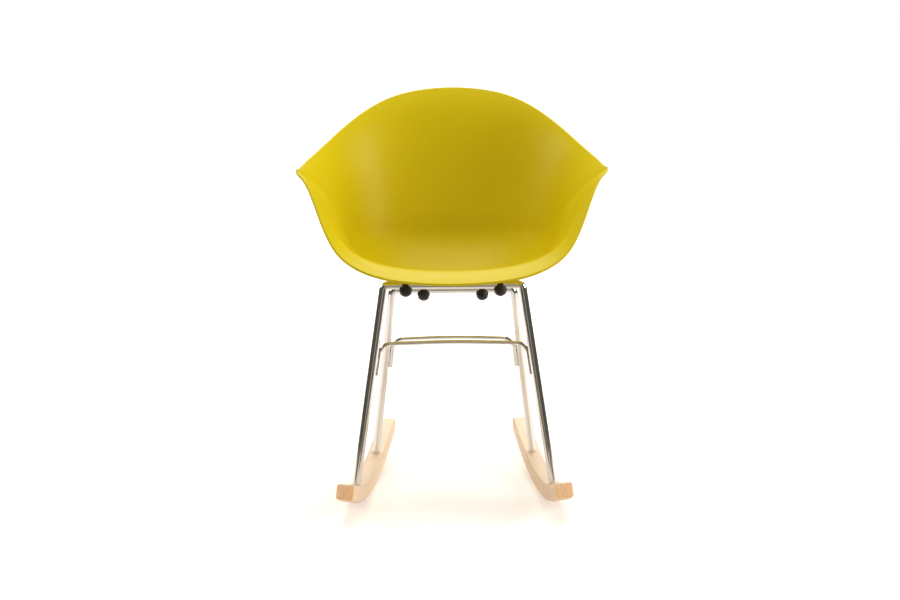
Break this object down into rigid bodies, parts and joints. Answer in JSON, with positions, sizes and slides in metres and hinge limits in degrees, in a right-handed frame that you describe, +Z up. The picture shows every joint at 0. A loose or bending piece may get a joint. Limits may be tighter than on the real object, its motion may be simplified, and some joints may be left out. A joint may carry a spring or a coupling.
{
  "type": "moulded plastic rocking chair",
  "caption": "Rocking chair with a one-piece moulded plastic tub seat with arms, bent chrome tube legs, thin stretcher rods and curved beech rockers",
  "frame": {"origin": "On the floor in the middle of the object's bounding box, over the line where the rockers touch the floor at rest.", "axes": "+Z is up. The sitter looks along -Y. +X is to the left of the sitter, which is the right of the picture."},
  "size_m": [0.6066, 0.6479, 0.7832],
  "materials": {
    "shell": "satin, lightly grained",
    "chrome_tube": "polished",
    "beech": "clear matt lacquer",
    "knob_plastic": "satin",
    "insert_brass": "machined",
    "zinc_steel": "zinc plated"
  },
  "bodies": {
    "root": {"front_leg_frame": "chrome_tube", "front_stretcher_rod": "chrome_tube", "leg_plug_front_left": "zinc_steel", "leg_plug_front_right": "zinc_steel", "leg_plug_rear_left": "zinc_steel", "leg_plug_rear_right": "zinc_steel", "mount_cap_front_left": "knob_plastic", "mount_cap_front_right": "knob_plastic", "mount_cap_rear_left": "knob_plastic", "mount_cap_rear_right": "knob_plastic", "mount_clip_front_left": "knob_plastic", "mount_clip_front_right": "knob_plastic", "mount_clip_rear_left": "knob_plastic", "mount_clip_rear_right": "knob_plastic", "mount_insert_front_left": "insert_brass", "mount_insert_front_right": "insert_brass", "mount_insert_rear_left": "insert_brass", "mount_insert_rear_right": "insert_brass", "mount_screw_front_left": "zinc_steel", "mount_screw_front_right": "zinc_steel", "mount_screw_rear_left": "zinc_steel", "mount_screw_rear_right": "zinc_steel", "mount_spacer_front_left": "knob_plastic", "mount_spacer_front_right": "knob_plastic", "mount_spacer_rear_left": "knob_plastic", "mount_spacer_rear_right": "knob_plastic", "rear_leg_frame": "chrome_tube", "rear_stretcher_rod": "chrome_tube", "rocker_bolt_front_left": "zinc_steel", "rocker_bolt_front_right": "zinc_steel", "rocker_bolt_rear_left": "zinc_steel", "rocker_bolt_rear_right": "zinc_steel", "rocker_left": "beech", "rocker_right": "beech", "rocker_washer_front_left": "zinc_steel", "rocker_washer_front_right": "zinc_steel", "rocker_washer_rear_left": "zinc_steel", "rocker_washer_rear_right": "zinc_steel", "seat_shell": "shell"}
  },
  "joints": []
}
